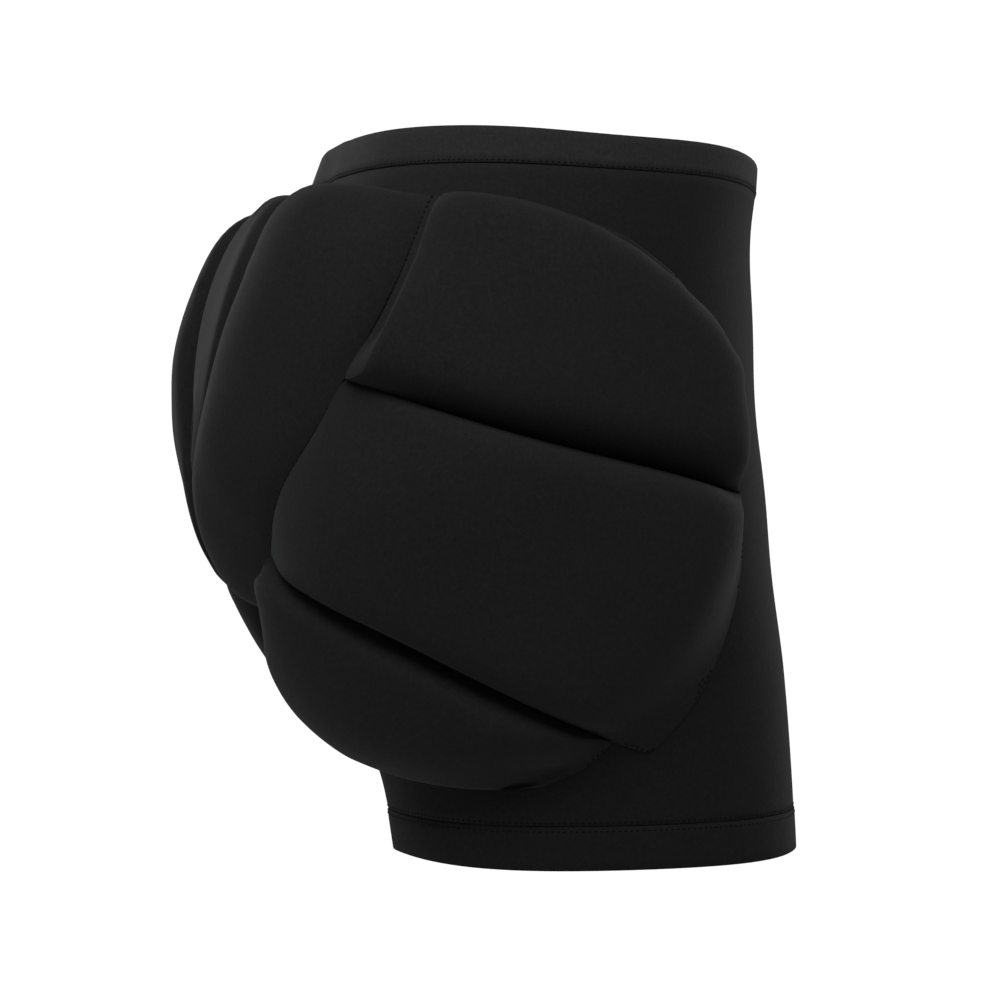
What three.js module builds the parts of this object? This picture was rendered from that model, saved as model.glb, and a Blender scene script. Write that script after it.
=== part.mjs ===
import * as THREE from "three";
import { ParametricGeometry } from "three/addons/geometries/ParametricGeometry.js";
import { mergeGeometries, mergeVertices } from "three/addons/utils/BufferGeometryUtils.js";

// Padded hip shorts in millimetres, as worn. +Z is up, the wearer faces -Y, and -X is the wearer's right.
// The origin is the centre of the waist opening.

// The whole garment
const HEIGHT = 332;            // waist edge to leg edge
const HIP_HALF_WIDTH = 168;    // centre line to the cloth at the widest part of the hip
const SEAT_REACH = 150;        // waist centre to the cloth at the fullest part of the seat
const BELLY_REACH = 106;       // waist centre to the cloth in front
const WAIST_TILT = 9;          // rise of the waist edge at the back
const CLEFT = 6;               // dip of the cloth between the two halves of the seat
const FRONT_DIP = 12;          // how far the waist edge curls down at the very front
const HEM_RISE = 3;            // how far the leg edge curls up at the very front and back

// Crotch and legs
const CROTCH_DROP = 243;       // waist edge to the lowest point of the crotch
const BACK_RISE_DROP = 168;    // waist edge to where the back seam starts to turn under
const FRONT_RISE_DROP = 150;   // the same for the front seam
const CROTCH_SET_BACK = 12;    // crotch point behind the waist centre
const LEG_SPLIT = 8;           // inner leg edge to the centre plane, at the leg edge
const STEP = 46;               // how far the left leg stands forward at its edge
const STEP_DROP = 95;          // waist edge to the hip joint that the step turns about
const STEP_BLEND = 60;         // width from the centre plane over which the cloth takes up the step

// Cloth
const CLOTH = 2;               // wall of the stretch cloth
const SEAM_GAP = 0.3;          // clearance between pieces that are sewn together
const BAND_HEIGHT = 16;        // elastic waistband
const BAND_WALL = 3.2;         // band's elastic and its two layers of cloth
const HEM_HEIGHT = 20;         // turned hem of each leg
const HEM_WALL = 2.8;          // the hem's layers of cloth
const PROUD = 0.4;             // how far band and hems stand out from the cloth

// Foam pads under their cover cloth
const SEAT_PAD = 24;           // thickness of the long pads over the seat
const TAIL_PAD = 24;           // thickness of the pad over the tailbone
const HIP_PAD = 23;            // thickness of the two pads over the hip
const THIGH_PAD = 21;          // thickness of the pad behind the thigh
const FLANGE = 1.6;            // sewn edge of a pad, where its foam has run out
const PAD_SEAT = 0.9;          // clearance between a pad and the cloth, whose facets differ
const PAD_INSET = 0.6;         // from the seam line to the edge of each pad beside it
const SEWN_MARGIN = 8;         // flat stitched margin in front of the middle hip pad

// The right half's outline, from the waist down. drop is a share of HEIGHT, side of HIP_HALF_WIDTH,
// back of SEAT_REACH, and front of BELLY_REACH. widest is how far back the widest point lies, as a share
// of SEAT_REACH, and the two peaks are how far out the fullest points of back and front lie, of side.
const SECTIONS = [
  { drop: 0.00, side: 0.83, back: 0.67, front: 0.96, widest: 0.02, backPeak: 0.14, frontPeak: 0.14 },
  { drop: 0.05, side: 0.86, back: 0.71, front: 0.94, widest: 0.03, backPeak: 0.20, frontPeak: 0.14 },
  { drop: 0.13, side: 0.90, back: 0.85, front: 0.90, widest: 0.08, backPeak: 0.32, frontPeak: 0.14 },
  { drop: 0.24, side: 0.95, back: 0.945, front: 0.91, widest: 0.14, backPeak: 0.40, frontPeak: 0.15 },
  { drop: 0.37, side: 0.99, back: 1.01, front: 0.89, widest: 0.16, backPeak: 0.43, frontPeak: 0.20 },
  { drop: 0.48, side: 1.00, back: 1.045, front: 0.91, widest: 0.14, backPeak: 0.45, frontPeak: 0.27 },
  { drop: 0.60, side: 0.99, back: 0.96, front: 0.905, widest: 0.09, backPeak: 0.47, frontPeak: 0.36 },
  { drop: 0.73, side: 0.97, back: 0.85, front: 0.93, widest: 0.03, backPeak: 0.49, frontPeak: 0.46 },
  { drop: 0.86, side: 0.94, back: 0.66, front: 0.955, widest: -0.04, backPeak: 0.51, frontPeak: 0.51 },
  { drop: 1.00, side: 0.92, back: 0.60, front: 0.98, widest: -0.07, backPeak: 0.53, frontPeak: 0.53 },
];
const ROUNDNESS = 2.25;        // superellipse power of the outer side; 2 is an ellipse
const WAIST_FADE = 0.13;       // share of HEIGHT over which the waist edge's tilt runs out
const HEM_FADE = 0.15;         // the same for the curl of the leg edge
const CURL = 6;                // even power; a higher one keeps the curl closer to the front or back

// A smooth curve through one column of a table of rows, with a slope at each row from its neighbours
function column(rows, key, drop) {
  const last = rows.length - 1;
  let i = 0;
  while (i < last - 1 && drop > rows[i + 1].drop) i += 1;
  const slope = (k) => {
    const a = rows[Math.max(k - 1, 0)];
    const b = rows[Math.min(k + 1, last)];
    return (b[key] - a[key]) / (b.drop - a.drop);
  };
  const span = rows[i + 1].drop - rows[i].drop;
  const t = (drop - rows[i].drop) / span;
  const start = rows[i][key] * (1 + 2 * t) * (1 - t) ** 2 + slope(i) * span * t * (1 - t) ** 2;
  const end = rows[i + 1][key] * (3 - 2 * t) * t ** 2 - slope(i + 1) * span * (1 - t) * t ** 2;
  return start + end;
}

const CROTCH_ROUNDNESS = 2.4;  // superellipse power of the centre seams' turn under to the crotch

// Where one of the two centre seams lies at a drop: straight down, then under to the crotch point
function seamReach(reach, riseDrop, below) {
  const turn = THREE.MathUtils.clamp((below - riseDrop) / (CROTCH_DROP - riseDrop), 0, 1);
  return reach * (1 - turn ** CROTCH_ROUNDNESS) ** (1 / CROTCH_ROUNDNESS);
}

// A point of the right half's cloth. around runs -1 at the back seam, 0 at the fullest point of the back,
// 0.5 at the side, 1 at the front of the thigh and 2 at the front seam; below is the drop in millimetres.
function cloth(around, below) {
  const drop = below / HEIGHT;
  const side = column(SECTIONS, "side", drop) * HIP_HALF_WIDTH;
  const back = column(SECTIONS, "back", drop) * SEAT_REACH;
  const front = column(SECTIONS, "front", drop) * BELLY_REACH;
  const widest = column(SECTIONS, "widest", drop) * SEAT_REACH;
  const legShare = Math.max(below - CROTCH_DROP, 0) / (HEIGHT - CROTCH_DROP);
  const inner = SEAM_GAP / 2 + (LEG_SPLIT - SEAM_GAP / 2) * Math.sin(legShare * Math.PI / 2);
  const backMiddle = column(SECTIONS, "backPeak", drop) * side;
  const frontMiddle = column(SECTIONS, "frontPeak", drop) * side;
  let x;
  let y;
  if (around >= 0 && around <= 1) {
    const angle = around * Math.PI;
    const c = Math.cos(angle);
    const s = Math.sin(angle);
    const along = Math.sign(c) * Math.abs(c) ** (2 / ROUNDNESS);
    const middle = along > 0 ? backMiddle : frontMiddle;
    x = -middle - (side - middle) * s ** (2 / ROUNDNESS);
    y = widest + (along > 0 ? (back - widest) * along : (front + widest) * along);
  } else {
    const isBack = around < 0;
    const share = isBack ? -around : around - 1;
    const reach = isBack ? back : front;
    const dip = CLEFT * Math.sin(Math.min(below / BACK_RISE_DROP, 1) * Math.PI / 2);
    const start = isBack ? back - dip - CROTCH_SET_BACK : front + CROTCH_SET_BACK;
    const riseDrop = isBack ? BACK_RISE_DROP : FRONT_RISE_DROP;
    const seam = seamReach(start, riseDrop, below) + (isBack ? CROTCH_SET_BACK : -CROTCH_SET_BACK);
    const across = Math.sin(share * Math.PI / 2);
    const turned = THREE.MathUtils.smoothstep(below, riseDrop, CROTCH_DROP);
    const valley = (1 - Math.cos(across * Math.PI)) / 2;
    const round = 1 - Math.cos(share * Math.PI / 2);
    const middle = isBack ? backMiddle : frontMiddle;
    x = -middle + (middle - inner) * across;
    y = (reach - (reach - seam) * THREE.MathUtils.lerp(valley, round, turned)) * (isBack ? 1 : -1);
  }
  const atWaist = Math.max(0, 1 - drop / WAIST_FADE);
  const tilt = y > 0 ? WAIST_TILT * (y / BELLY_REACH) : -FRONT_DIP * (y / BELLY_REACH) ** CURL;
  const atHem = Math.max(0, 1 - (1 - drop) / HEM_FADE);
  const rise = HEM_RISE * ((2 * y - back + front) / (back + front)) ** CURL;
  return new THREE.Vector3(x, y, tilt * atWaist + rise * atHem - below);
}

// A point of either half, or just past the back seam, where around is less than -1
function skin(around, below) {
  const crossed = around < -1;
  const point = cloth(crossed ? -2 - around : around, below);
  if (crossed) point.x = -point.x;
  return point;
}

// Small steps over which directions are measured
const STEP_AROUND = 0.004;
const STEP_BELOW = 0.6;

// The outward direction of the cloth at a point of it
function outward(around, below) {
  const high = Math.max(below - STEP_BELOW, 0);
  const low = Math.min(below + STEP_BELOW, HEIGHT);
  const before = Math.max(around - STEP_AROUND, -2);
  const after = Math.min(around + STEP_AROUND, 2);
  const across = skin(after, below).sub(skin(before, below));
  const down = skin(around, low).sub(skin(around, high));
  return down.cross(across).normalize();
}

// The same on a centre seam, where it lies in the centre plane
function outwardOnSeam(around, below) {
  if (below >= CROTCH_DROP) return new THREE.Vector3(0, 0, -1);
  const low = Math.min(below + STEP_BELOW, CROTCH_DROP);
  const down = cloth(around, low).sub(cloth(around, Math.max(below - STEP_BELOW, 0)));
  const turn = around < 0 ? -1 : 1;
  return new THREE.Vector3(0, turn * down.z, -turn * down.y).normalize();
}

// The cloth's other face
function lining(around, below) {
  const onSeam = (around === -1 || around === 2) && below <= CROTCH_DROP;
  const away = onSeam ? outwardOnSeam(around, below) : outward(around, below);
  if (!onSeam && (around === -1 || around === 2)) away.set(1, 0, 0);
  return cloth(around, below).addScaledVector(away, -CLOTH);
}

// The left leg's step forward, as a shift of every point left of the centre plane
function stepped(point) {
  const below = -point.z;
  const share = Math.max(below - STEP_DROP, 0) / (HEIGHT - STEP_DROP);
  const apart = THREE.MathUtils.smoothstep(below, CROTCH_DROP, CROTCH_DROP + STEP_BLEND);
  const reach = THREE.MathUtils.lerp(STEP_BLEND, 1, apart);
  point.y -= STEP * share * THREE.MathUtils.smoothstep(point.x, 0, reach);
  return point;
}

const SAME_POINT = 1e-3;       // corners closer than this become one

// One closed solid from surface patches that meet edge to edge
function solid(patches) {
  const bare = patches.map((patch) => {
    patch.deleteAttribute("normal");
    patch.deleteAttribute("uv");
    return patch;
  });
  const whole = mergeVertices(mergeGeometries(bare), SAME_POINT);
  return withoutFlatFaces(whole);
}

// Turns the faces outwards, and drops those that have no area, where a patch closes on itself
function withoutFlatFaces(geometry) {
  const index = geometry.index.array;
  const kept = [];
  for (let i = 0; i < index.length; i += 3) {
    const [a, b, c] = [index[i], index[i + 1], index[i + 2]];
    if (a !== b && b !== c && c !== a) kept.push(c, b, a);
  }
  geometry.setIndex(kept);
  geometry.computeVertexNormals();
  return geometry;
}

// A patch of a surface given as a function of two shares
function patch(at, slices, stacks) {
  return new ParametricGeometry((s, t, target) => target.copy(at(s, t)), slices, stacks);
}

// The same solid on the other side of the centre plane, with the left leg's step
function mirrored(geometry) {
  const copy = geometry.clone();
  const place = copy.attributes.position;
  const point = new THREE.Vector3();
  for (let i = 0; i < place.count; i += 1) {
    point.fromBufferAttribute(place, i);
    point.x = -point.x;
    stepped(point);
    place.setXYZ(i, point.x, point.y, point.z);
  }
  copy.setIndex(Array.from(copy.index.array).reverse());
  copy.computeVertexNormals();
  return copy;
}

// Drops of the cloth's rows: even down to the rise, by equal turns of the crotch seam, even down the leg
const CLOTH_TOP = BAND_HEIGHT + SEAM_GAP;
const CLOTH_END = HEIGHT - HEM_HEIGHT - SEAM_GAP;
const ROWS = { body: 7, rise: 8, leg: 4 };
const COLUMNS = 30;

function rowDrop(row) {
  if (row <= ROWS.body) return THREE.MathUtils.lerp(CLOTH_TOP, FRONT_RISE_DROP, row / ROWS.body);
  const turn = (row - ROWS.body) / ROWS.rise;
  if (turn <= 1) {
    return THREE.MathUtils.lerp(FRONT_RISE_DROP, CROTCH_DROP, Math.sin(turn * Math.PI / 2));
  }
  return THREE.MathUtils.lerp(CROTCH_DROP, CLOTH_END, (row - ROWS.body - ROWS.rise) / ROWS.leg);
}

// The right half of the stretch cloth: outer face, lining, rims, and the two edges of the centre seam
function clothHalf() {
  const rows = ROWS.body + ROWS.rise + ROWS.leg;
  const seamRows = ROWS.body + ROWS.rise;
  const around = (s) => Math.round((-1 + 3 * s) * 1e6) / 1e6;
  const drop = (t, count) => rowDrop(Math.round(t * count));
  const outer = (s, t) => cloth(around(s), drop(t, rows));
  const inner = (s, t) => lining(around(s), drop(t, rows));
  const rim = (t) => (s, k) => (k < 0.5 ? outer(s, t) : inner(s, t));
  const face = (k) => (k < 0.5 ? cloth : lining);
  const seam = (s) => (k, t) => face(k)(around(s), drop(t, seamRows));
  return solid([
    patch((s, t) => outer(s, t), COLUMNS, rows),
    patch((s, t) => inner(1 - s, t), COLUMNS, rows),
    patch((s, k) => rim(0)(1 - s, k), COLUMNS, 1),
    patch((s, k) => rim(1)(s, k), COLUMNS, 1),
    patch((k, t) => seam(0)(1 - k, t), 1, seamRows),
    patch((k, t) => seam(1)(k, t), 1, seamRows),
  ]);
}

// A ring of flat section: its edges lie along the cloth from one drop to another
function flatRing(at, away, from, to, wall, columns) {
  const corner = (s, k) => {
    const [below, depth] = [[from, -PROUD], [to, -PROUD], [to, wall - PROUD], [from, wall - PROUD]][k % 4];
    return at(s, below).addScaledVector(away(s, below), -depth);
  };
  return solid([patch((s, t) => corner(s % 1, Math.round(t * 4)), columns, 4)]);
}

// The waistband goes all round: the right half from back to front, then the left half from front to back
function waistband() {
  const half = (s) => (s < 0.5 ? s * 2 : 2 - s * 2);
  const side = (s) => (s <= 0.5 ? 1 : -1);
  const turned = (vector, s) => {
    vector.x *= side(s);
    return vector;
  };
  const at = (s, below) => {
    const point = cloth(-1 + 3 * half(s), below);
    point.x = Math.min(point.x + SEAM_GAP / 2, 0);
    return turned(point, s);
  };
  const away = (s, below) => {
    const onSeam = half(s) === 0 || half(s) === 1;
    const around = -1 + 3 * half(s);
    return turned(onSeam ? outwardOnSeam(around, below) : outward(around, below), s);
  };
  return flatRing(at, away, 0, BAND_HEIGHT, BAND_WALL, 2 * COLUMNS);
}

// The right leg's hem
function legHem() {
  const at = (s, below) => cloth(-1 + 3 * s, below);
  const away = (s, below) => (s === 0 ? new THREE.Vector3(1, 0, 0) : outward(-1 + 3 * s, below));
  return flatRing(at, away, HEIGHT - HEM_HEIGHT, HEIGHT, HEM_WALL, COLUMNS);
}

// Seam lines of the pads on the right half, as points of around and of drop, which is a share of HEIGHT
function line(...points) {
  return new THREE.SplineCurve(points.map(([around, drop]) => new THREE.Vector2(around, drop)));
}

const SEAMS = {
  tailTop: line([-1.80, 0.080], [-1.40, 0.071], [-1.00, 0.069], [-0.60, 0.071], [-0.20, 0.080]),
  tailRight: line([-0.20, 0.080], [-0.02, 0.14], [-0.09, 0.21], [-0.22, 0.30], [-0.40, 0.41],
    [-0.64, 0.475], [-0.85, 0.505]),
  tailLeft: line([-1.80, 0.080], [-1.98, 0.14], [-1.91, 0.21], [-1.78, 0.30], [-1.60, 0.41],
    [-1.36, 0.475], [-1.15, 0.505]),
  tailEnd: line([-1.15, 0.505], [-1.00, 0.515], [-0.85, 0.505]),
  seatTop: line([0.05, 0.066], [0.16, 0.076], [0.27, 0.090]),
  seatInner: line([0.05, 0.066], [-0.03, 0.21], [-0.16, 0.30], [-0.36, 0.42], [-0.58, 0.48], [-0.74, 0.54],
    [-0.78, 0.61]),
  seatUnder: line([-0.78, 0.61], [-0.50, 0.637], [-0.20, 0.662], [-0.07, 0.656]),
  sideUpper: line([0.27, 0.090], [0.268, 0.175], [0.245, 0.26], [0.21, 0.338]),
  sideMiddle: line([0.21, 0.338], [0.14, 0.445], [0.06, 0.52], [0.0, 0.57]),
  sideLower: line([0.0, 0.57], [-0.045, 0.613], [-0.07, 0.656]),
  upperTop: line([0.27, 0.090], [0.365, 0.090], [0.45, 0.106], [0.53, 0.142]),
  upperFront: line([0.53, 0.142], [0.62, 0.205], [0.68, 0.27], [0.715, 0.35], [0.72, 0.43], [0.71, 0.492]),
  groove: line([0.21, 0.338], [0.305, 0.368], [0.425, 0.410], [0.53, 0.446], [0.62, 0.471], [0.71, 0.492]),
  middleFront: line([0.71, 0.492], [0.72, 0.55], [0.695, 0.62], [0.655, 0.69], [0.59, 0.77],
    [0.505, 0.845]),
  lowGroove: line([0.0, 0.57], [0.10, 0.605], [0.24, 0.675], [0.395, 0.782], [0.505, 0.845]),
  lowGrooveShort: line([0.0, 0.57], [0.10, 0.605], [0.24, 0.675], [0.395, 0.782], [0.47, 0.826]),
  lowerBack: line([-0.07, 0.656], [-0.12, 0.71], [-0.14, 0.77], [-0.12, 0.825]),
  lowerFront: line([0.47, 0.826], [0.43, 0.860], [0.36, 0.886]),
  lowerEnd: line([-0.12, 0.825], [-0.03, 0.853], [0.10, 0.879], [0.23, 0.891], [0.36, 0.886]),
};

// The pads of the right half. Each lies between four seam lines. flat is the sewn margin along each of
// them, as a share of SEWN_MARGIN, and roll the width over which the foam rises behind it, as a share of
// its thickness. soft is how far that rise turns from a quarter circle, at 0, to a gentle slope, at 1.
// Where a margin grows along its side, widen is how much more of SEWN_MARGIN it has at the side's far end.
const PADS = [
  { name: "seat_pad", thick: SEAT_PAD, slices: 10, stacks: 16,
    back: "seatInner", front: ["sideUpper", "sideMiddle", "sideLower"], high: "seatTop", low: "seatUnder",
    flat: { back: 0, front: 0, high: 0, low: 0 },
    roll: { back: 0.4, front: 1.9, high: 1.1, low: 1.1 },
    soft: { back: 0, front: 0.8, high: 0.4, low: 0 } },
  { name: "hip_pad_upper", thick: HIP_PAD, slices: 12, stacks: 11,
    back: "sideUpper", front: "upperFront", high: "upperTop", low: "groove",
    flat: { back: 0.6, front: 0.8, high: 0.5, low: 0 }, widen: { back: 0.5 },
    roll: { back: 0.5, front: 0.75, high: 0.75, low: 0.85 },
    soft: { back: 0, front: 0, high: 0, low: 0.1 } },
  { name: "hip_pad_middle", thick: HIP_PAD, slices: 13, stacks: 11,
    back: "sideMiddle", front: "middleFront", high: "groove", low: "lowGroove",
    flat: { back: 0, front: 0.5, high: 0, low: 0 }, widen: { front: 1.9 },
    roll: { back: 1.4, front: 1.3, high: 0.6, low: 0.6 },
    soft: { back: 0.8, front: 0.6, high: 0, low: 0 } },
  { name: "thigh_pad", thick: THIGH_PAD, slices: 13, stacks: 11,
    back: ["sideLower", "lowerBack"], front: "lowerFront", high: "lowGrooveShort", low: "lowerEnd",
    flat: { back: 0, front: 1.2, high: 0, low: 0 },
    roll: { back: 0.7, front: 1.2, high: 0.55, low: 1.8 },
    soft: { back: 0, front: 0.3, high: 0, low: 0.3 } },
];

// The pad over the tailbone lies across both halves
const TAIL = {
  name: "tailbone_pad", thick: TAIL_PAD,
  back: "tailLeft", front: "tailRight", high: "tailTop", low: "tailEnd",
  flat: { back: 0, front: 0, high: 0, low: 0 },
  roll: { back: 1.05, front: 1.05, high: 0.9, low: 0.6 },
  soft: { back: 0, front: 0, high: 0.4, low: 0 }, slices: 12, stacks: 12,
};

// A point along one seam line, or along several laid end to end
function along(names, share) {
  const lines = [names].flat().map((name) => SEAMS[name]);
  const lengths = lines.map((one) => one.getLength());
  let rest = share * lengths.reduce((sum, length) => sum + length, 0);
  let i = 0;
  while (i < lines.length - 1 && rest > lengths[i]) {
    rest -= lengths[i];
    i += 1;
  }
  return lines[i].getPointAt(Math.min(rest / lengths[i], 1));
}

// Blends four edges into a patch of (around, drop): s runs from back to front and t from high to low
function between(edges, s, t) {
  const [back, front] = [along(edges.back, t), along(edges.front, t)];
  const [high, low] = [along(edges.high, s), along(edges.low, s)];
  const corner = (edge, end) => along(edges[edge], end);
  const top = corner("high", 0).multiplyScalar(1 - s).addScaledVector(corner("high", 1), s);
  const end = corner("low", 0).multiplyScalar(1 - s).addScaledVector(corner("low", 1), s);
  return back.multiplyScalar(1 - s).addScaledVector(front, s)
    .addScaledVector(high, 1 - t).addScaledVector(low, t)
    .addScaledVector(top, t - 1).addScaledVector(end, -t);
}

// Shortest way from a point to a run of points
function distanceTo(point, run) {
  const nearest = new THREE.Vector3();
  const piece = new THREE.Line3();
  let best = Infinity;
  for (let i = 1; i < run.length; i += 1) {
    piece.set(run[i - 1], run[i]).closestPointToPoint(point, true, nearest);
    best = Math.min(best, nearest.distanceTo(point));
  }
  return best;
}

// Steps of a pad's grid stand closer near its edges, where the foam rolls over
const EDGE_CROWDING = 0.75;
const crowded = (s) => THREE.MathUtils.lerp(s, (1 - Math.cos(s * Math.PI)) / 2, EDGE_CROWDING);
const EDGE_SAMPLES = 24;
const ROLL_SHARPNESS = 14;     // how little the rolls of two edges soften each other at a corner
const LEAST_RISE = 1e-3;       // share of the full rise that still counts at a seam line

// One pad: a flat sewn edge, a rolled rise from each seam line, and the foam's full thickness inside
function pad({ thick, flat, widen = {}, roll, soft, slices, stacks, ...edges }) {
  const at = (s, t, height) => {
    const { x: around, y: drop } = between(edges, s, t);
    const below = drop * HEIGHT;
    return skin(around, below).addScaledVector(outward(around, below), height);
  };
  const sides = {
    back: (k) => at(0, k, 0), front: (k) => at(1, k, 0), high: (k) => at(k, 0, 0), low: (k) => at(k, 1, 0),
  };
  const runs = Object.fromEntries(Object.entries(sides).map(([side, point]) => [
    side, Array.from({ length: EDGE_SAMPLES + 1 }, (_, i) => point(i / EDGE_SAMPLES))]));
  const lengthOf = (run) => run.slice(1).reduce((sum, point, i) => sum + point.distanceTo(run[i]), 0);
  const insetAcross = PAD_INSET / Math.min(lengthOf(runs.high), lengthOf(runs.low));
  const insetDown = PAD_INSET / Math.min(lengthOf(runs.back), lengthOf(runs.front));
  const place = (s, t) => [
    THREE.MathUtils.lerp(insetAcross, 1 - insetAcross, crowded(s)),
    THREE.MathUtils.lerp(insetDown, 1 - insetDown, crowded(t))];
  const thickness = (s, t) => {
    const point = at(s, t, 0);
    const rises = Object.entries(runs).map(([side, run]) => {
      const wider = (widen[side] ?? 0) * (side === "back" || side === "front" ? t : s);
      const past = distanceTo(point, run) - (flat[side] + wider) * SEWN_MARGIN;
      const share = THREE.MathUtils.clamp(past / (roll[side] * thick), 0, 1);
      const round = Math.sqrt(1 - (1 - share) ** 2);
      return THREE.MathUtils.lerp(round, (1 - Math.cos(share * Math.PI)) / 2, soft[side]);
    });
    const least = rises.reduce((sum, rise) => sum + Math.max(rise, LEAST_RISE) ** -ROLL_SHARPNESS, 0);
    const corners = rises.length ** (1 / ROLL_SHARPNESS);
    return FLANGE + (thick - FLANGE) * Math.min(corners * least ** (-1 / ROLL_SHARPNESS), 1);
  };
  const under = (s, t) => at(...place(s, t), PAD_SEAT);
  const top = (s, t) => at(...place(s, t), PAD_SEAT + thickness(...place(s, t)));
  const wall = (s, t, k) => (k < 0.5 ? under(s, t) : top(s, t));
  return solid([
    patch((s, t) => top(s, t), slices, stacks),
    patch((s, t) => under(1 - s, t), slices, stacks),
    patch((s, k) => wall(s, 0, k), slices, 1),
    patch((s, k) => wall(1 - s, 1, k), slices, 1),
    patch((k, t) => wall(0, t, k), 1, stacks),
    patch((k, t) => wall(1, 1 - t, k), 1, stacks),
  ]);
}

const INK = { color: 0x1b1b1c, metalness: 0 };
const finishes = {
  cloth: () => new THREE.MeshStandardMaterial({ ...INK, roughness: 0.88 }),
  band: () => new THREE.MeshStandardMaterial({ ...INK, roughness: 0.82 }),
  pad: () => new THREE.MeshStandardMaterial({ ...INK, roughness: 0.9 }),
};

function piece(name, geometry, material) {
  const mesh = new THREE.Mesh(geometry, material);
  mesh.name = name;
  return mesh;
}

const shorts = new THREE.Group();
const tailbone = pad(TAIL);
const tailPlace = tailbone.attributes.position;
for (let i = 0; i < tailPlace.count; i += 1) {
  const point = stepped(new THREE.Vector3().fromBufferAttribute(tailPlace, i));
  tailPlace.setXYZ(i, point.x, point.y, point.z);
}
shorts.add(piece("waistband", waistband(), finishes.band()), piece("tailbone_pad", tailbone, finishes.pad()));

const right = new THREE.Group();
const left = new THREE.Group();
shorts.add(right, left);
const halves = [
  { name: "cloth", geometry: clothHalf(), finish: finishes.cloth },
  { name: "leg_hem", geometry: legHem(), finish: finishes.cloth },
  ...PADS.map((row) => ({ name: row.name, geometry: pad(row), finish: finishes.pad })),
];
for (const { name, geometry, finish } of halves) {
  right.add(piece(`${name}_right`, geometry, finish()));
  left.add(piece(`${name}_left`, mirrored(geometry), finish()));
}

export default shorts;
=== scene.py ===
# %% [markdown]
# # Padded hip shorts
#
# Close-fitting black shorts with foam pads sewn over the hips, the seat, the tailbone and the backs of the
# thighs, shown filled out as when they are worn. The solids give the size and the place of every piece.
# This lesson gives each of them cloth: a soft form, a knitted surface, stitched seams and a studio.

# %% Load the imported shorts
import math

import bmesh
import bpy
from mathutils import Matrix, Vector
from mathutils.bvhtree import BVHTree


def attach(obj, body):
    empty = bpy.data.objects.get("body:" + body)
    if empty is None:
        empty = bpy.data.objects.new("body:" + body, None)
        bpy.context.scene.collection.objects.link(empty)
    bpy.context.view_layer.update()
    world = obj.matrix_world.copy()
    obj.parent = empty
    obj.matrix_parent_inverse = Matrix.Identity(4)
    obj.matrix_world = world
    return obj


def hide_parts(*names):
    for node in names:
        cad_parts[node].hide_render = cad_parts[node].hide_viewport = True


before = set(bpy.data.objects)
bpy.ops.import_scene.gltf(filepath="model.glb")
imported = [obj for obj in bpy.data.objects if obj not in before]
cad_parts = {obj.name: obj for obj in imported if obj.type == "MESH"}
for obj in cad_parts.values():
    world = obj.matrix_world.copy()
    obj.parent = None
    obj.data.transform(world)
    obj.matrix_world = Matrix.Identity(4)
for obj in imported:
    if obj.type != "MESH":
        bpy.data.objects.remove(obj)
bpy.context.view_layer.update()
MM = 0.001
print("solids:", ", ".join(sorted(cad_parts)))

# %% [markdown]
# ## The camera
#
# The shorts are seen from the wearer's right, a little from behind, with the lens level with their middle. A
# lens of about 100 mm on a full frame, some 1.4 m away, keeps the far side from shrinking much. The aim point
# is on the body's axis, so the picture's middle falls where the photograph's does.

# %% Place the camera
BEHIND = math.radians(16)
DISTANCE = 1400 * MM
AIM = Vector((0, 17 * MM, -165.6 * MM))
towards_camera = Vector((-math.cos(BEHIND), math.sin(BEHIND), 0))
picture_left = Vector((math.sin(BEHIND), math.cos(BEHIND), 0))
up = Vector((0, 0, 1))

camera = bpy.data.objects.new("camera", bpy.data.cameras.new("camera"))
camera.data.sensor_width = 36
camera.data.lens = 100.8
camera.location = AIM + towards_camera * DISTANCE
camera.rotation_euler = (-towards_camera).to_track_quat("-Z", "Y").to_euler()
bpy.context.scene.collection.objects.link(camera)
bpy.context.scene.camera = camera
print("camera at", [round(x, 3) for x in camera.location])

# %% [markdown]
# ## Shader maths in plain Python
#
# Every finish here is built from numbers that change over the surface. A small class wraps one socket, so
# that `1 - mask` or `ribs * 0.5 + grain` adds the Math nodes by itself. A second class holds a material and
# adds any other node: its settings first, then the values or links of its sockets.

# %% A socket that can be calculated with
class Amount:
    def __init__(self, tree, socket):
        self.tree = tree
        self.socket = socket

    def _with(self, operation, *items):
        node = self.tree.nodes.new("ShaderNodeMath")
        node.operation = operation
        for slot, item in zip(node.inputs, items):
            feed(self.tree, slot, item)
        return Amount(self.tree, node.outputs[0])

    def __add__(self, other):
        return self._with("ADD", self, other)

    def __radd__(self, other):
        return self._with("ADD", other, self)

    def __sub__(self, other):
        return self._with("SUBTRACT", self, other)

    def __rsub__(self, other):
        return self._with("SUBTRACT", other, self)

    def __mul__(self, other):
        return self._with("MULTIPLY", self, other)

    def wave(self):
        return self._with("SINE", self)

    def above(self, limit):
        return self._with("GREATER_THAN", self, limit)

    def angle_to(self, other):
        return self._with("ARCTAN2", self, other)


def feed(tree, slot, item):
    if isinstance(item, Amount):
        tree.links.new(item.socket, slot)
    else:
        slot.default_value = item


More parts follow.
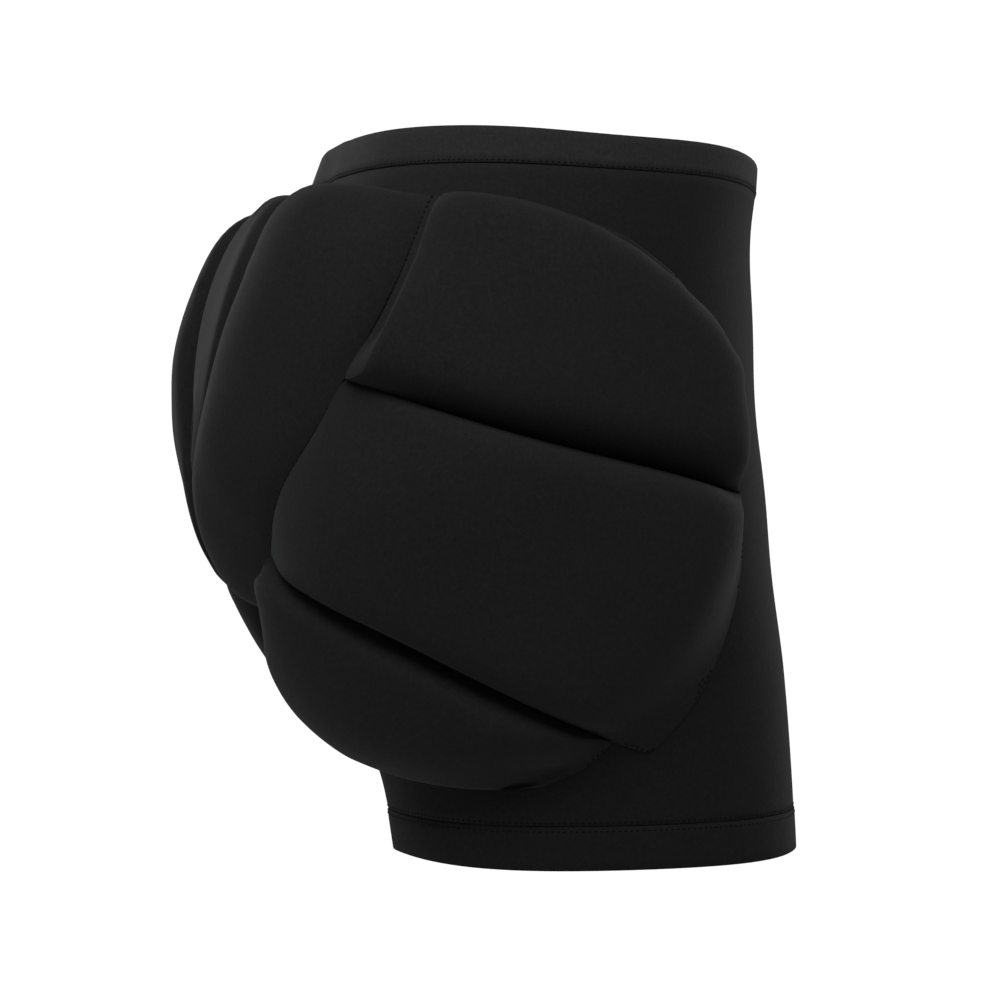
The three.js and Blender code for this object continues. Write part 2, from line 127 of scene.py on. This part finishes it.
# %% A material that adds its nodes
class Finish:
    def __init__(self, name):
        self.material = bpy.data.materials.new(name)
        self.material.use_nodes = True
        self.tree = self.material.node_tree
        self.shader = self.tree.nodes["Principled BSDF"]

    def node(self, kind, settings, sockets, output):
        made = self.tree.nodes.new("ShaderNode" + kind)
        for name, value in settings.items():
            setattr(made, name, value)
        for name, value in sockets.items():
            feed(self.tree, made.inputs[name], value)
        return Amount(self.tree, made.outputs[output])

    def set(self, **sockets):
        for name, value in sockets.items():
            feed(self.tree, self.shader.inputs[name.replace("_", " ")], value)


# %% [markdown]
# ## The knitted cloth
#
# The cover is a fine black stretch knit. From a metre away its loops are too small to count, and it reads as
# a soft grain. Faint rows follow the body: the wales run up and down, so their wave is laid round the body's
# axis, and the courses lie across them. Noise breaks both up, as real yarn does, and a few specks are lint.
# The surface scatters a little light at grazing angles, which a sheen gives, and it has hardly any gloss.

# %% Make a knit
BODY_MIDDLE = 20 * MM  # behind the origin
BODY_RADIUS = 140 * MM
LINT = 120.0  # cells a metre in which a speck may lie
LINT_GREY = (0.25, 0.25, 0.25, 1)


def knit(name, pitch, dark, light, depth, fuzz):
    """A knitted finish: a wale's width, two greys, the height of the loops and the strength of the sheen."""
    finish = Finish(name)
    place = finish.node("TexCoord", {}, {}, "Object")
    split = finish.tree.nodes.new("ShaderNodeSeparateXYZ")
    feed(finish.tree, split.inputs[0], place)
    x, y, z = (Amount(finish.tree, split.outputs[i]) for i in range(3))
    round_body = (y - BODY_MIDDLE).angle_to(x) * BODY_RADIUS
    turns = 2 * math.pi / pitch
    wales = (round_body * turns).wave()
    courses = (z * (turns * 1.3) + wales * 0.9).wave()
    grain = finish.node(
        "TexNoise", {}, {"Vector": place, "Scale": 800.0, "Detail": 3.0, "Roughness": 0.7}, "Fac")
    mottle = finish.node("TexNoise", {}, {"Vector": place, "Scale": 420.0, "Detail": 2.0}, "Fac")
    cloud = finish.node("TexNoise", {}, {"Vector": place, "Scale": 22.0, "Detail": 2.0}, "Fac")
    loops = wales * 0.05 + courses * 0.05 + grain * 1.0 + mottle * 0.3

    tone = finish.node("MapRange", {"clamp": True}, {
        "Value": grain * 0.7 + mottle * 0.25 + cloud * 0.15, "From Min": 0.36, "From Max": 0.74}, "Result")
    cloth_tone = finish.node("Mix", {"data_type": "RGBA"}, {0: tone, 6: dark, 7: light}, 2)
    cell = finish.node("TexVoronoi", {"feature": "F1"}, {"Vector": place, "Scale": LINT}, "Color")
    chance = finish.node("SeparateColor", {}, {"Color": cell}, "Red")
    near = finish.node("TexVoronoi", {"feature": "F1"}, {"Vector": place, "Scale": LINT}, "Distance")
    speck = chance.above(0.985) * (1 - near.above(0.045))
    coloured = finish.node("Mix", {"data_type": "RGBA"}, {0: speck * 0.5, 6: cloth_tone, 7: LINT_GREY}, 2)
    bump = finish.node("Bump", {}, {"Height": loops, "Distance": depth, "Strength": 0.55}, "Normal")
    finish.set(Base_Color=coloured, Roughness=0.9 - mottle * 0.12, Normal=bump)
    finish.set(Sheen_Weight=fuzz, Sheen_Roughness=0.55, Sheen_Tint=(0.8, 0.82, 0.86, 1))
    finish.set(Specular_IOR_Level=0.16)
    return finish.material


INK_DARK = (0.0062, 0.0062, 0.0066, 1)
INK_LIGHT = (0.0135, 0.0135, 0.0142, 1)
# The leg's greys are the cover's at about 0.88: painted shade for the leg lying in the pads' shadow. The
# whole stretch cloth and the hems wear them.
SHADED_LEG_DARK = (0.0054, 0.0054, 0.0057, 1)
SHADED_LEG_LIGHT = (0.012, 0.012, 0.0126, 1)
# The band's greys are about twice the cover's: painted light for the band tilting up into the light from
# above.
LIT_BAND_DARK = (0.012, 0.012, 0.0125, 1)
LIT_BAND_LIGHT = (0.024, 0.024, 0.025, 1)
cover_knit = knit("cover_knit", 0.8 * MM, INK_DARK, INK_LIGHT, 0.28 * MM, 0.05)
leg_knit_painted_shade = knit("leg_knit_painted_shade", 0.7 * MM, SHADED_LEG_DARK, SHADED_LEG_LIGHT, 0.22 * MM, 0.04)
band_knit_painted_light = knit("band_knit_painted_light", 1.1 * MM, LIT_BAND_DARK, LIT_BAND_LIGHT, 0.3 * MM, 0.06)
print("knits:", cover_knit.name, leg_knit_painted_shade.name, band_knit_painted_light.name)


# %% [markdown]
# ## The thread
#
# The seams are sewn with a black thread, and each stitch is drawn into the cloth. The thread is painted
# darker than the cloth: painted shade of the small hollow that each stitch sits in, so a row reads as a line
# of dark dots. A plain finish with a fine twist is enough at this size.

# %% Make the thread
# Both greys are darker than the cloth's: painted shade of the hollows the stitches sit in.
SHADED_THREAD_DARK = (0.0015, 0.0015, 0.0016, 1)
SHADED_THREAD_LIGHT = (0.004, 0.004, 0.0042, 1)


def twisted_thread():
    """A thread with a fine twist, painted dark as the shade in the stitches' hollows."""
    finish = Finish("shaded_thread")
    place = finish.node("TexCoord", {}, {}, "Object")
    twist = finish.node("TexNoise", {}, {"Vector": place, "Scale": 2600.0, "Detail": 1.0}, "Fac")
    tone = finish.node("Mix", {"data_type": "RGBA"}, {0: twist, 6: SHADED_THREAD_DARK, 7: SHADED_THREAD_LIGHT}, 2)
    bump = finish.node("Bump", {}, {"Height": twist, "Distance": 0.1 * MM, "Strength": 0.4}, "Normal")
    finish.set(Base_Color=tone, Roughness=0.75 + twist * 0.1, Normal=bump, Specular_IOR_Level=0.12)
    return finish.material


shaded_thread = twisted_thread()
print("thread:", shaded_thread.name)

# %% [markdown]
# ## From solids to cloth
#
# Each solid arrives as loose triangles. Merged, and with its pairs of triangles joined to quads, the same
# mesh is a good cage for a subdivision surface, which rounds the facets off into cloth. Its sharp edges get
# a crease, so that they stay.

# %% Copy a solid as a cage
SAME_POINT = 0.005 * MM
RIM_ANGLE = math.radians(60)
RIM_CREASE = 0.95


def merged(node):
    """A bmesh of a solid's copy with its loose triangles joined up."""
    bm = bmesh.new()
    bm.from_mesh(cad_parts[node].data)
    bmesh.ops.remove_doubles(bm, verts=bm.verts, dist=SAME_POINT)
    bm.normal_update()
    return bm


def cage(node, keep=lambda bm: []):
    """A bmesh of a solid's copy, merged and in quads. The edges that keep finds in it are left in place."""
    bm = merged(node)
    for edge in keep(bm):
        edge.smooth = False
    bmesh.ops.join_triangles(
        bm, faces=bm.faces, angle_face_threshold=math.radians(50), angle_shape_threshold=math.radians(100),
        cmp_sharp=True)
    bm.normal_update()
    crease = bm.edges.layers.float.new("crease_edge")
    for edge in bm.edges:
        if len(edge.link_faces) == 2 and edge.calc_face_angle() > RIM_ANGLE:
            edge[crease] = RIM_CREASE
    return bm


def show(name, bm, node, finish):
    """Turns a bmesh into a piece with a finish. Where a node is named, the piece stands for that solid."""
    mesh = bpy.data.meshes.new(name)
    bm.to_mesh(mesh)
    bm.free()
    mesh.polygons.foreach_set("use_smooth", [True] * len(mesh.polygons))
    mesh.materials.append(finish)
    piece = bpy.data.objects.new(name, mesh)
    bpy.context.scene.collection.objects.link(piece)
    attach(piece, "root")
    if node:
        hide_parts(node)
    return piece


def rounded(piece, levels):
    """Adds the subdivision surface that smooths a cage."""
    smooth = piece.modifiers.new("smooth", "SUBSURF")
    smooth.levels = smooth.render_levels = levels
    return piece


# %% [markdown]
# ## The stretch cloth, the waistband and the hems
#
# The two halves of the cloth are sheets about 2 mm thick that the body stretches out. They meet in a seam on
# the middle plane. The waistband is elastic in a folded casing, and each leg ends in a turned hem. All of
# them are smooth rings and tubes, so the cage and its subdivision surface are the whole shape.

# %% Dress the cloth, the band and the hems
SIDES = ("right", "left")
CENTRE_GAP = 0.3 * MM


def close_centre(bm):
    """Moves a half's edge onto the body's middle plane, where it meets the other half in the centre seam."""
    edge = [v for v in bm.verts if abs(v.co.x) < CENTRE_GAP]
    for vertex in edge:
        vertex.co.x = 0
    return len(edge)


# The casing wears the knit with painted light.
band = rounded(show("waistband_casing", cage("waistband"), "waistband", band_knit_painted_light), 2)
hems = {}
cloths = {}
# The hems and the cloth halves wear the knit with painted shade.
for side in SIDES:
    hem = f"leg_hem_{side}"
    hems[side] = rounded(show(f"turned_hem_{side}", cage(hem), hem, leg_knit_painted_shade), 2)
    half = cage(f"cloth_{side}")
    outer_area = sum(face.calc_area() for face in half.faces) / 2
    print("centre seam,", side, "has", close_centre(half), "points")
    cloths[side] = rounded(show(f"stretch_cloth_{side}", half, f"cloth_{side}", leg_knit_painted_shade), 2)
    print(f"cloth, {side}: {outer_area:.4f} square metres")

# %% [markdown]
# ## The pads
#
# Foam pads are full at the middle and roll down to a thin sewn edge. The solids already have that form, with
# facets and a small gap round each. Here every sewn edge is pulled down on the cloth, and out to the edge of
# the pad beside it. Then a cloth simulation blows the cover up a little from inside, which tightens the
# rolls and lets the corners draw. The sewn edge and the underside are pinned.
#
# The parts of a pad are told apart by the way they face: the underside faces the cloth, a short wall stands
# all round it, and the rim is the wall's other edge.

# %% Find a pad's underside and rim
def solids_tree(nodes):
    """The surfaces of some solids as one tree to measure from."""
    bm = bmesh.new()
    for node in nodes:
        bm.from_mesh(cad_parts[node].data)
    tree = BVHTree.FromBMesh(bm)
    bm.free()
    return tree


cloth_below = solids_tree(f"cloth_{side}" for side in SIDES)
FACES_CLOTH = -0.5  # a face's share of the direction away from the cloth, below which it faces the cloth


def height(point):
    """How far a point lies from the cloth."""
    return cloth_below.find_nearest(point)[3]


def parts_of(bm):
    """The vertices of a pad's underside, those of its rim, and the edges along the rim."""
    under = set()
    for face in bm.faces:
        centre = face.calc_center_median()
        away = centre - cloth_below.find_nearest(centre)[0]
        if face.normal.dot(away.normalized()) < FACES_CLOTH:
            under.update(face.verts)
    walls = {f for f in bm.faces if 0 < sum(v in under for v in f.verts) < len(f.verts)}
    rim = {v for face in walls for v in face.verts if v not in under}
    along = [
        e for e in bm.edges
        if all(v in rim for v in e.verts) and sum(f in walls for f in e.link_faces) == 1]
    return under, rim, along


def rim_edges(bm):
    """The edges that a pad's cage keeps."""
    return parts_of(bm)[2]


def loops_of(edges):
    """The closed runs that some edges form, each as its points in order."""
    left = list(edges)
    loops = []
    while left:
        loop = list(left.pop(0).verts)
        while further := [e for e in loop[-1].link_edges if e in left]:
            left.remove(further[0])
            loop.append(further[0].other_vert(loop[-1]))
        loops.append([v.co.copy() for v in loop[:-1]])
    return loops


# %% Settle a pad on the cloth
SEAM_HEIGHT = 1.3 * MM  # of a rim that is sewn to the pad beside it
MARGIN_HEIGHT = 0.25 * MM  # of a rim that lies open on the cloth
BORDER_HEIGHT = 0.1 * MM  # of the underside's own border
NEAR_SEAM = 2.6 * MM  # two rims closer than this share a seam
SEAM_PULL = 0.65 * MM  # how far each of them moves to the other at most
PULL_SHARE = 0.55  # and as a share of the gap between them
ROLL_SINK = 1.5 * MM  # how far a roll sinks by the rim, and the heights over which that runs out
ROLL_HEIGHTS = (2.5 * MM, 8 * MM)
GROOVE_SIDES = (8 * MM, 22 * MM)  # the distances from a groove over which its bridging runs out
BRIDGE_START = 10 * MM


def smoothly(value, low, high):
    """Rises from 0 at low to 1 at high, level at both ends."""
    share = min(max((value - low) / (high - low), 0), 1)
    return share * share * (3 - 2 * share)


def corner(first, second, third):
    """The point where three pads meet: the one on the first that lies nearest to both others."""
    near, far = solids_tree([second]), solids_tree([third])
    points = [v.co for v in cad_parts[first].data.vertices]
    return min(points, key=lambda p: near.find_nearest(p)[3] + far.find_nearest(p)[3])


# The cover bridges the grooves between the hip's pads, most of all by the seat. For each groove: its two
# pads, how much of its depth is bridged by the seat, and the distance from there at which that has faded.
GROOVES = (
    ("hip_pad_upper", "hip_pad_middle", 0.34, 240 * MM),
    ("thigh_pad", "hip_pad_middle", 0.5, 220 * MM),
)
# How steeply some pads rise from the edge of a pad beside them, as height over distance
GENTLE = {
    "seat_pad": {"hip_pad_upper": 0.5, "hip_pad_middle": 0.5},
    "hip_pad_upper": {"seat_pad": 1.3},
    "hip_pad_middle": {"seat_pad": 0.42},
    "thigh_pad": {"seat_pad": 1.7},
}


def settle(bm, node, under, rim, others):
    """Lowers a pad's thin margin to the cloth, and pulls its edge to the pad beside it."""

    def crosses(edge):
        return (edge.verts[0] in under) != (edge.verts[1] in under)

    full = max(height(v.co) for v in bm.verts)
    kind, side = node.rsplit("_", 1)
    slopes = [(slope, solids_tree([f"{other}_{side}"])) for other, slope in GENTLE.get(kind, {}).items()]
    bridges = []
    for one, other, depth, faded in GROOVES:
        if kind in (one, other):
            start = corner(f"{one}_{side}", f"{other}_{side}", f"seat_pad_{side}")
            beside = solids_tree([f"{other if kind == one else one}_{side}"])
            bridges.append((depth, faded, start, beside))
    pulls = {}
    for vertex in under | rim:
        place, _, _, gap = others.find_nearest(vertex.co)
        if any(map(crosses, vertex.link_edges)) and gap < NEAR_SEAM:
            pulls[vertex] = (place - vertex.co).normalized() * min(SEAM_PULL, gap * PULL_SHARE)
    for vertex in bm.verts:
        place, _, _, over = cloth_below.find_nearest(vertex.co)
        away = (vertex.co - place).normalized()
        if vertex in under:
            wanted = BORDER_HEIGHT if any(map(crosses, vertex.link_edges)) else over
        elif vertex in rim:
            wanted = SEAM_HEIGHT if vertex in pulls else MARGIN_HEIGHT
        else:
            wanted = over - ROLL_SINK * (1 - smoothly(over, *ROLL_HEIGHTS))
        if vertex not in under:
            for depth, faded, start, beside in bridges:
                near = 1 - smoothly(beside.find_nearest(vertex.co)[3], *GROOVE_SIDES)
                share = depth * (1 - smoothly((vertex.co - start).length, BRIDGE_START, faded))
                wanted += (full - wanted) * share * near
            limits = [SEAM_HEIGHT + slope * tree.find_nearest(place)[3] for slope, tree in slopes]
            wanted = min([wanted] + limits)
        vertex.co = place + away * wanted + pulls.get(vertex, Vector())


# %% Swell a pad's cover
LAST_FRAME = 20


def swell(piece, pinned, pressure, travel):
    """Blows the piece up with a cloth simulation. No point ends further than travel from where it began."""
    group = piece.vertex_groups.new(name="sewn")
    group.add(pinned, 1.0, "REPLACE")
    cover = piece.modifiers.new("cover", "CLOTH")
    cover.settings.vertex_group_mass = "sewn"
    cover.settings.use_pressure = True
    cover.settings.uniform_pressure_force = pressure
    cover.settings.effector_weights.gravity = 0
    cover.settings.quality = 5
    cover.point_cache.frame_start = 1
    cover.point_cache.frame_end = LAST_FRAME
    scene = bpy.context.scene
    for number in range(1, LAST_FRAME + 1):
        scene.frame_set(number)
    blown = piece.evaluated_get(bpy.context.evaluated_depsgraph_get()).data
    for vertex, target in zip(piece.data.vertices, blown.vertices):
        move = target.co - vertex.co
        if move.length > travel:
            move *= travel / move.length
        vertex.co += move
    piece.modifiers.remove(cover)
    piece.vertex_groups.remove(group)
    scene.frame_set(1)


# %% Make the pads
FOAM = [node for node in sorted(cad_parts) if "pad" in node]
PINNED_BELOW = 1.6 * MM
PRESSURE = 4
TRAVEL = 1.3 * MM
rims = {}
pads = {}
for node in FOAM:
    bm = cage(node, keep=rim_edges)
    under, rim, along = parts_of(bm)
    settle(bm, node, under, rim, solids_tree(other for other in FOAM if other != node))
    rims[node] = loops_of(along)[0]
    print(node, "rim of", len(rims[node]), "points, underside of", len(under))
    piece = show(f"foam_{node}", bm, node, cover_knit)
    rounded(piece, 1)
    fine = bpy.data.meshes.new_from_object(piece.evaluated_get(bpy.context.evaluated_depsgraph_get()))
    piece.modifiers.clear()
    piece.data = fine
    swell(piece, [v.index for v in fine.vertices if height(v.co) < PINNED_BELOW], PRESSURE, TRAVEL)
    rounded(piece, 1)
    pads[node] = piece

# %% [markdown]
# ## The stitches
#
# A stitch is one short, slightly sunken length of thread, so a row of small flattened beads at the real
# pitch looks right from near and far. Where two pads meet, one row runs along the seam. Where a pad's edge
# lies open on the cloth, two finer rows follow it. Every stitch is laid on the finished surface.

# %% Lay rows of stitches
STITCH = 2.8 * MM
STITCH_LENGTH = 1.6 * MM
SHORTEST = 0.5 * MM  # where a row folds back on itself, its points lie closer than this
THREAD_RADIUS = 0.48 * MM
MARGIN_THREAD = 0.36 * MM
THREAD_RISE = 0.2  # how far a stitch's middle stands off the cloth, in its radius
MARGIN_ROWS = (1.2 * MM, 3.6 * MM)  # inside the rim
SEAM_REACH = 1.5 * MM  # a rim this close to the next pad is sewn to it
OPEN_REACH = 5 * MM  # a rim further than this from every pad is open
OPEN_HEIGHT = 3 * MM


def surface_tree(pieces):
    """The finished surfaces of some pieces as one tree."""
    bm = bmesh.new()
    shown = bpy.context.evaluated_depsgraph_get()
    for piece in pieces:
        mesh = bpy.data.meshes.new_from_object(piece.evaluated_get(shown))
        bm.from_mesh(mesh)
        bpy.data.meshes.remove(mesh)
    tree = BVHTree.FromBMesh(bm)
    bm.free()
    return tree


def evenly(points, pitch):
    """Points spaced evenly along a closed run of points."""
    run = points + points[:1]
    lengths = [(b - a).length for a, b in zip(run, run[1:])]
    count = max(2, round(sum(lengths) / pitch))
    step = sum(lengths) / count
    spaced = []
    travelled = 0
    wanted = 0
    for a, b, length in zip(run, run[1:], lengths):
        while wanted <= travelled + length and len(spaced) < count:
            spaced.append(a.lerp(b, (wanted - travelled) / max(length, 1e-9)))
            wanted += step
        travelled += length
    return spaced


def stitch(bm, place, along, away, radius):
    """One stitch: a flattened bead of thread."""
    across = away.cross(along).normalized()
    turn = Matrix((along * STITCH_LENGTH / 2, across * radius, away * radius * 0.8)).transposed()
    bmesh.ops.create_uvsphere(
        bm, u_segments=6, v_segments=4, radius=1, matrix=Matrix.Translation(place) @ turn.to_4x4())


def everywhere(place):
    return True


def sew(bm, points, tree, radius, wanted=everywhere):
    """A closed row of stitches along some points, laid on the nearest surface."""
    laid = [tree.find_nearest(point)[:2] for point in evenly(points, STITCH)]
    count = 0
    for i, (place, away) in enumerate(laid):
        along = laid[(i + 1) % len(laid)][0] - laid[i - 1][0]
        if along.length < SHORTEST or not wanted(place):
            continue
        along = (along - away * along.dot(away)).normalized()
        stitch(bm, place + away * radius * THREAD_RISE, along, away, radius)
        count += 1
    return count


def inside(loop, by):
    """The rim's loop moved inwards over the pad by a distance."""
    middle = sum(loop, Vector()) / len(loop)
    moved = []
    for i, point in enumerate(loop):
        along = (loop[(i + 1) % len(loop)] - loop[i - 1]).normalized()
        away = cloth_below.find_nearest(point)[1]
        inwards = away.cross(along).normalized()
        if inwards.dot(middle - point) < 0:
            inwards = -inwards
        moved.append(point + inwards * by)
    return moved


def sew_pad(node, unsewn):
    """The rows on one pad: one along each seam that isn't sewn yet, and two on its open margin."""
    pad_tree = surface_tree([pads[node]])
    others = surface_tree([pads[other] for other in FOAM if other != node])
    next_ones = surface_tree([pads[other] for other in unsewn])
    bm = bmesh.new()
    rim = rims[node]

    def on_seam(place):
        return next_ones.find_nearest(place)[3] < SEAM_REACH

    def on_margin(place):
        return others.find_nearest(place)[3] > OPEN_REACH and height(place) < OPEN_HEIGHT

    seam = sew(bm, rim, pad_tree, THREAD_RADIUS, on_seam)
    margins = sum(sew(bm, inside(rim, by), pad_tree, MARGIN_THREAD, on_margin) for by in MARGIN_ROWS)
    print(node, "has", seam, "seam stitches and", margins, "on its margin")
    show(f"stitches_{node}", bm, None, shaded_thread)


for side in SIDES:
    unsewn = [f"{kind}_{side}" for kind in ("hip_pad_upper", "hip_pad_middle", "thigh_pad", "seat_pad")]
    while len(unsewn) > 1:
        sew_pad(unsewn.pop(0), list(unsewn))

# %% [markdown]
# ## The band's seam and the hems' two rows
#
# The casing is closed with one row along its lower edge. A leg's hem is held by two rows side by side, one
# on each side of the turned edge, as a coverstitch machine sews them. Each row follows the ring's own outer
# edge.

# %% Find a ring's outer edge
RING_POINTS = 20  # a ring's own loops have more points than this


def ring_edge(node, at_top):
    """The outer loop of points along the top or the bottom of a band or a hem."""
    bm = cage(node)
    loops = loops_of(e for e in bm.edges if e.calc_face_angle(0) > RIM_ANGLE)
    bm.free()
    long_ones = [loop for loop in loops if len(loop) > RING_POINTS]

    def level(loop):
        return sum(p.z for p in loop) / len(loop)

    middle = sum(level(loop) for loop in long_ones) / len(long_ones)
    wanted = [loop for loop in long_ones if (level(loop) > middle) == at_top]
    return max(wanted, key=lambda loop: sum((b - a).length for a, b in zip(loop, loop[1:])))


# %% Sew the band and the hems
FINE_THREAD = 0.28 * MM
BAND_ROW = 1.4 * MM  # above the band's lower edge
HEM_ROWS = (1.6 * MM, -2.0 * MM)  # above the hem's upper edge, and below it
band_row = bmesh.new()
band_edge = ring_edge("waistband", at_top=False)
count = sew(band_row, [p + up * BAND_ROW for p in band_edge], surface_tree([band]), FINE_THREAD)
show("stitches_waistband", band_row, None, shaded_thread)
print("waistband has", count, "stitches")
for side in SIDES:
    hem_rows = bmesh.new()
    hem_tree = surface_tree([hems[side], cloths[side]])
    hem_edge = ring_edge(f"leg_hem_{side}", at_top=True)
    count = sum(sew(hem_rows, [p + up * by for p in hem_edge], hem_tree, FINE_THREAD) for by in HEM_ROWS)
    show(f"stitches_leg_hem_{side}", hem_rows, None, shaded_thread)
    print("leg hem,", side, "has", count, "stitches")

# %% [markdown]
# ## The studio
#
# The photograph has a white ground and a black thing on it, so the light has to draw every form. The
# strongest light is a broad one above the camera. Weak ones from the seat's side, the front and behind draw
# the edges. The world is white to the eye and dim as a light. The floor is pale and lies a metre below the
# waist.

# %% Light the shorts
def soft_light(name, place, size, power):
    data = bpy.data.lights.new(name, "AREA")
    data.shape = "RECTANGLE"
    data.size, data.size_y = size
    data.energy = power
    light = bpy.data.objects.new(name, data)
    light.location = place
    light.rotation_euler = (AIM - place).to_track_quat("-Z", "Y").to_euler()
    bpy.context.scene.collection.objects.link(light)
    return light


soft_light("above", AIM + up * 1.6 + towards_camera * 1.25 + picture_left * 0.1, (1.6, 1.2), 28)
soft_light("seat_side", AIM + picture_left * 1.6 + up * 0.8 + towards_camera * 0.4, (1.0, 1.4), 2.2)
soft_light("front_side", AIM - picture_left * 1.3 + up * 0.3 - towards_camera * 1.0, (0.7, 1.4), 5)
soft_light("behind", AIM + picture_left * 1.0 + up * 0.5 - towards_camera * 1.2, (0.8, 1.2), 4)

world = bpy.data.worlds.new("white_ground")
bpy.context.scene.world = world
world.use_nodes = True
ground = world.node_tree
seen = ground.nodes.new("ShaderNodeBackground")
seen.inputs["Color"].default_value = (1, 1, 1, 1)
seen.inputs["Strength"].default_value = 1.05
dim = ground.nodes["Background"]
dim.inputs["Color"].default_value = (1, 1, 1, 1)
dim.inputs["Strength"].default_value = 0.14
choose = ground.nodes.new("ShaderNodeMixShader")
ground.links.new(ground.nodes.new("ShaderNodeLightPath").outputs["Is Camera Ray"], choose.inputs["Fac"])
ground.links.new(dim.outputs[0], choose.inputs[1])
ground.links.new(seen.outputs[0], choose.inputs[2])
ground.links.new(choose.outputs[0], ground.nodes["World Output"].inputs["Surface"])
bpy.context.scene.view_settings.view_transform = "Standard"

# %% Lay the floor
FLOOR_LEVEL = -1.0
floor_bm = bmesh.new()
bmesh.ops.create_circle(
    floor_bm, cap_ends=True, segments=64, radius=3.0, matrix=Matrix.Translation((0, 0, FLOOR_LEVEL)))
floor_mesh = bpy.data.meshes.new("floor")
floor_bm.to_mesh(floor_mesh)
floor_bm.free()
pale = Finish("pale_floor")
floor_grain = pale.node("TexNoise", {}, {"Scale": 6.0, "Detail": 2.0}, "Fac")
pale.set(Base_Color=(0.86, 0.86, 0.85, 1), Roughness=0.75 + floor_grain * 0.1)
floor_mesh.materials.append(pale.material)
floor = bpy.data.objects.new("floor", floor_mesh)
bpy.context.scene.collection.objects.link(floor)
print("floor at", FLOOR_LEVEL)
